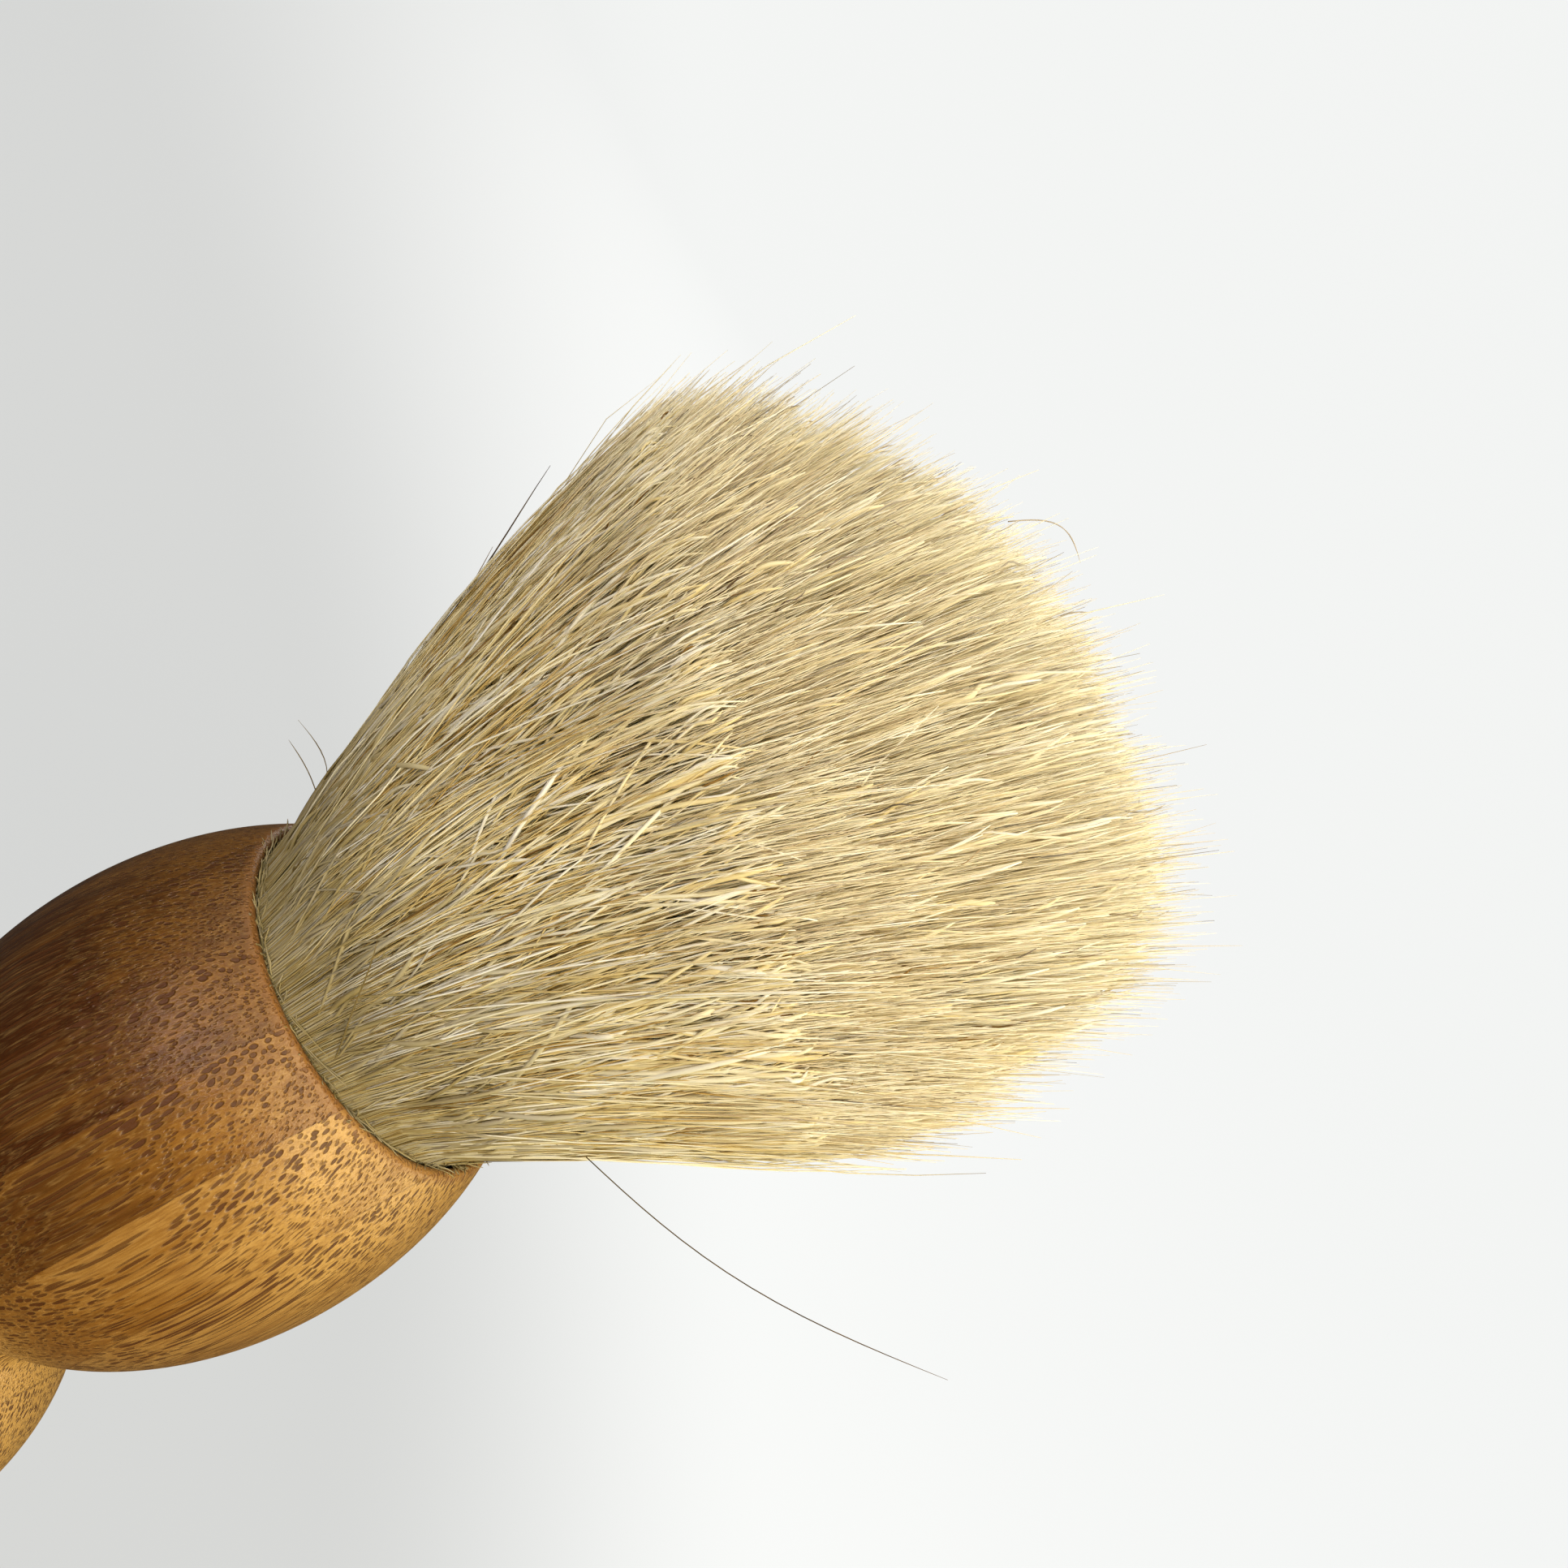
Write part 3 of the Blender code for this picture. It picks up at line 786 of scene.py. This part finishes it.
def woven_strands(rings):
    """Short strands of clinging hairs that come out of the tuft, cross its side or dome and go back in. A
    fifth of them are short dark dashes that lie just under the surface: painted shadow in the gaps between
    the strands.
    """
    count = WOVEN_STRANDS
    angle = rng.uniform(0.0, math.tau, count)
    on_dome = rng.uniform(0.0, 1.0, count) < 0.26
    share = np.where(on_dome, np.sqrt(rng.uniform(0.02, 1.0, count)), 1.0)
    top = dome_height(share, angle) / MM
    # Painted shadow: the dark strands are short dark dashes for the shade in the gaps between strands, not
    # hairs
    dark = rng.uniform(0.0, 1.0, count) < 0.20
    length = np.where(dark, rng.uniform(1.5, 5.0, count), rng.uniform(4.0, 17.0, count))
    tip = top + rng.exponential(0.5, count)
    foot = np.where(on_dome, tip - length, rng.uniform(-0.02, 0.97, count) * top)
    end = np.where(on_dome, tip, np.minimum(foot + length, tip))
    slant = rng.normal(0.0, 0.15, count) * np.where(rng.uniform(0.0, 1.0, count) < 0.20, 2.0, 1.0)
    turn = np.degrees(slant * (end - foot) / (side_radius(foot * MM) / MM))
    rows = np.stack([np.degrees(angle), np.degrees(angle) + turn, foot, end], axis=-1)
    t = np.linspace(0.0, 1.0, rings)[None, :]
    rise = np.where(dark, 0.30, rng.uniform(0.30, 0.55, count))[:, None]
    stand_off = rise * np.sin(math.pi * t) - 0.32
    lines = surface_lines(rows, share[:, None], stand_off) + bend(count, rings, 0.16 * MM)
    tone = np.where(dark, rng.uniform(0.02, 0.17, count), rng.uniform(0.50, 1.00, count))
    lock = rng.uniform(0.065, 0.140, count) * np.where(rng.uniform(0.0, 1.0, count) < 0.22, 1.7, 1.0)
    radius = np.where(dark, rng.uniform(0.040, 0.065, count), lock) * MM
    return lines, tone, radius


def flying_hairs(rings):
    """The few hairs that stand away from the tuft: root, tip and sideways bow of each, in millimetres."""
    placed = [
        ((18.0, -7.5, 92.0), (39.0, -21.5, 112.0), (0.5, -2.5, -0.5)),
        ((-15.0, 4.0, 76.5), (-23.0, 2.0, 83.0), (1.0, 0.5, 2.5)),
        ((-15.0, 3.0, 80.5), (-22.0, 2.0, 81.5), (0.0, 0.0, 0.5)),
        ((-8.0, 1.5, 139.5), (-2.5, -0.5, 142.5), (-0.5, 0.0, 1.5)),
    ]
    root, tip, bow = (np.array(points)[:, None, :] for points in zip(*placed))
    t = np.linspace(0.0, 1.0, rings)[None, :, None]
    lines = (root + (tip - root) * t + bow * np.sin(math.pi * t)) * MM
    return lines, np.array([0.02, 0.12, 0.10, 0.16]), np.full(len(placed), 0.045) * MM


def rim_fibres(rings):
    """Short torn fibres and hair ends that lean out over the rim."""
    count = RIM_FIBRES
    angle = rng.uniform(0.0, math.tau, count)
    length = rng.uniform(0.6, 2.4, count) * MM
    along = rng.normal(0.0, 1.0, count) / TUFT_RIM_RADIUS
    t = np.linspace(0.0, 1.0, rings)[None, :]
    angle_line = angle[:, None] + (along * length)[:, None] * t
    radius = TUFT_RIM_RADIUS + (0.20 + rng.uniform(0.0, 1.5, count)[:, None] * t) * MM
    rise = rng.uniform(0.1, 0.9, count)
    height = (length * rise)[:, None] * t - 0.3 * MM
    lines = np.stack([radius * np.cos(angle_line), radius * np.sin(angle_line), RIM_Z + height], axis=-1)
    tone = rng.uniform(0.55, 0.95, count)
    return lines + bend(count, rings, 0.10 * MM), tone, rng.uniform(0.045, 0.070, count) * MM


def add_stray_hairs(material):
    """One piece for each kind of hair that lies on the tuft or stands away from it."""
    kinds = [
        ("tuft_woven_strand", woven_strands, 8),
        ("tuft_crossing_hair", crossing_hairs, 16),
        ("tuft_flying_hair", flying_hairs, 16),
        ("tuft_rim_fibre", rim_fibres, 9),
    ]
    for name, make, rings in kinds:
        lines, tone, radius = make(rings)
        count = len(tone)
        height = lines[..., 2] - RIM_Z
        along = np.clip(height / TUFT_TIP_HEIGHT, 0.0, 1.0)
        values = {"tone": tone, "along": along, "stain_and_shade": np.zeros(count)}
        mesh = tube_mesh(name, lines, taper(count, rings, radius), 4, values)
        add_piece(name, mesh, material, "hair", "hair_tuft")


def add_hair_pieces(prefix, hairs, sectors, sides, material):
    """Splits hairs by their angle round the axis into sectors, each one piece."""
    lines, radii, values, angle = hairs
    sector = np.floor((angle % math.tau) / math.tau * sectors).astype(int) % sectors
    for index in range(sectors):
        chosen = sector == index
        name = f"{prefix}_{index + 1}"
        part = {key: value[chosen] for key, value in values.items()}
        mesh = tube_mesh(name, lines[chosen], radii[chosen], sides, part)
        add_piece(name, mesh, material, "hair", "hair_tuft")


def make_core(material):
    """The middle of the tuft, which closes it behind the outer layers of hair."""
    angle = np.linspace(0.0, math.tau, 97)[:-1]
    edge = dome_height(1.0, angle) - CORE_INSET
    rings = [flow(CORE_SHARE, angle, np.full_like(angle, -ROOT_DEPTH))]
    rings += [flow(CORE_SHARE, angle, edge * part) for part in spaced(0.0, 1.0, 20)]
    for share in (0.97, 0.93, 0.87, 0.8, 0.7, 0.58, 0.45, 0.3, 0.15, 0.03):
        rings.append(flow(CORE_SHARE * share, angle, dome_height(share, angle) - CORE_INSET))
    mesh = skinned_mesh("tuft_core", np.stack(rings)[None], {})
    add_piece("tuft_core", mesh, material, "hair", "hair_tuft")


def make_tuft():
    hair = hair_material()
    core = speckled_material(
        "packed_hair", (0.78, 0.60, 0.27), (0.48, 0.33, 0.12), (2600.0, 2600.0, 120.0), 0.6, 0.15
    )
    make_core(core)
    add_hair_pieces("tuft_side_hair", side_hairs(SIDE_HAIRS, SIDE_WISPS, 11), 6, 3, hair)
    add_hair_pieces("tuft_tip_hair", dome_hairs(TIP_HAIRS, TIP_WISPS, 5, TIP_HAIR_LENGTH), 3, 3, hair)
    add_stray_hairs(hair)


# ---------------------------------------------------------------- inner pieces of the knot


def finish_inner_pieces():
    """Materials for the CAD pieces that stay: glue bed, resin plug and binding thread."""
    glue = speckled_material(
        "cured_adhesive", (0.66, 0.56, 0.34), (0.50, 0.40, 0.22), (500.0, 500.0, 500.0), 0.38, 0.1
    )
    resin = speckled_material(
        "cast_resin", (0.48, 0.32, 0.13), (0.34, 0.20, 0.07), (350.0, 350.0, 350.0), 0.28, 0.05
    )
    thread = speckled_material(
        "twisted_thread", (0.76, 0.70, 0.56), (0.55, 0.48, 0.35), (1800.0, 1800.0, 4200.0), 0.8, 0.2
    )
    finishes = {"socket_adhesive": glue, "knot_resin_plug": resin, "root_binding_thread": thread}
    for node, material in finishes.items():
        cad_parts[node].material_slots[0].material = material


# ---------------------------------------------------------------- stage


def make_floor():
    """A pale floor that sweeps up all round, so that it has no edge behind the brush."""
    flat, sweep = FLOOR_FLAT_RADIUS, FLOOR_SWEEP_RADIUS
    outline = [(0.0, 0.0), (flat * 0.5, 0.0), (flat, 0.0)]
    outline += [
        (flat + sweep * math.sin(a), sweep * (1 - math.cos(a))) for a in spaced(0.0, math.pi / 2, 25)[1:]
    ]
    outline.append((flat + sweep, WALL_TOP_Z))
    bm = turned_bmesh(outline, 96)
    mesh = bpy.data.meshes.new("floor")
    bm.to_mesh(mesh)
    bm.free()
    mesh.shade_smooth()
    floor = bpy.data.objects.new("floor", mesh)
    bpy.context.scene.collection.objects.link(floor)
    mesh.materials.append(paper_material())
    floor.visible_diffuse = False
    floor.visible_glossy = False


def paper_material():
    """Pale paper that glows a little, brighter on the side of the room that WALL_BRIGHT_SIDE points to."""
    made, tree, shader = new_material("pale_paper")
    shader.inputs["Base Color"].default_value = (0.06, 0.06, 0.06, 1.0)
    shader.inputs["Roughness"].default_value = 0.9
    shader.inputs["Emission Color"].default_value = (0.985, 1.0, 0.99, 1.0)
    place = scaled_position(tree, (1.0, 1.0, 1.0))
    above_tuft = add_node(tree, "ShaderNodeVectorMath", {0: place, 1: (0.0, 0.0, -WALL_CENTRE_Z)})
    direction = add_node(tree, "ShaderNodeVectorMath", {0: above_tuft.outputs[0]}, operation="NORMALIZE")
    inputs = {0: direction.outputs[0], 1: WALL_BRIGHT_SIDE}
    side = add_node(tree, "ShaderNodeVectorMath", inputs, operation="DOT_PRODUCT").outputs["Value"]
    feed(tree, shader.inputs["Emission Strength"], remap(tree, side, -0.50, -0.08, 0.60, 0.88))
    return made


def aim(obj, place, target, roll=0.0):
    """Stands obj at place with its -Z axis towards the target, turned by roll about that axis."""
    back = (Vector(place) - Vector(target)).normalized()
    right = Vector((0.0, 0.0, 1.0)).cross(back).normalized()
    up = back.cross(right)
    turn = Matrix((right, up, back)).transposed().to_4x4()
    obj.matrix_world = Matrix.Translation(place) @ turn @ Matrix.Rotation(roll, 4, "Z")


def add_light(name, place, target, size, power, colour):
    light = bpy.data.lights.new(name, "AREA")
    light.shape = "DISK"
    light.size = size
    light.energy = power
    light.color = colour
    obj = bpy.data.objects.new(name, light)
    bpy.context.scene.collection.objects.link(obj)
    aim(obj, place, target)


def make_lights():
    """Soft round lights: each an offset from the brush's middle, a diameter, a power and a colour."""
    middle = Vector((0.0, 0.0, LIGHTS_AIM_Z))
    lights = {
        "key": ((0.45, -0.315, 0.12), 0.13, 1.35, (1.0, 0.92, 0.76)),
        "right": ((0.56, 0.10, 0.10), 0.34, 1.6, (1.0, 0.96, 0.74)),
        "front": ((0.20, -0.44, 0.32), 0.45, 3.0, (1.0, 0.95, 0.80)),
        "front_left": ((-0.16, -0.50, 0.20), 0.45, 0.8, (0.95, 0.96, 0.94)),
        "top": ((0.12, 0.04, 0.60), 0.45, 0.8, (0.92, 0.95, 1.0)),
        "left": ((-0.50, -0.20, 0.25), 0.40, 0.75, (1.0, 0.99, 0.95)),
        "back": ((-0.25, 0.50, 0.25), 0.45, 1.3, (1.0, 0.97, 0.92)),
        "fill": ((-0.20, -0.55, 0.01), 0.08, 0.75, (0.86, 0.78, 1.0)),
    }
    for name, (offset, size, power, colour) in lights.items():
        add_light(name, middle + Vector(offset), middle, size, power, colour)
    world = bpy.data.worlds.new("studio")
    world.use_nodes = True
    background = world.node_tree.nodes["Background"]
    background.inputs["Color"].default_value = (1.0, 0.96, 0.88, 1.0)
    background.inputs["Strength"].default_value = 0.06
    bpy.context.scene.world = world
    bpy.context.scene.view_settings.view_transform = "Standard"


def make_camera():
    camera = bpy.data.cameras.new("camera")
    camera.angle = CAMERA_FIELD
    camera.clip_start = 0.005
    obj = bpy.data.objects.new("camera", camera)
    bpy.context.scene.collection.objects.link(obj)
    level = math.cos(CAMERA_ELEVATION)
    away = Vector(
        (level * math.sin(CAMERA_AZIMUTH), -level * math.cos(CAMERA_AZIMUTH), math.sin(CAMERA_ELEVATION))
    )
    aim(obj, CAMERA_TARGET + CAMERA_DISTANCE * away, CAMERA_TARGET, CAMERA_ROLL)
    bpy.context.scene.camera = obj


make_camera()
make_lights()
make_floor()
make_handle()
make_tuft()
finish_inner_pieces()
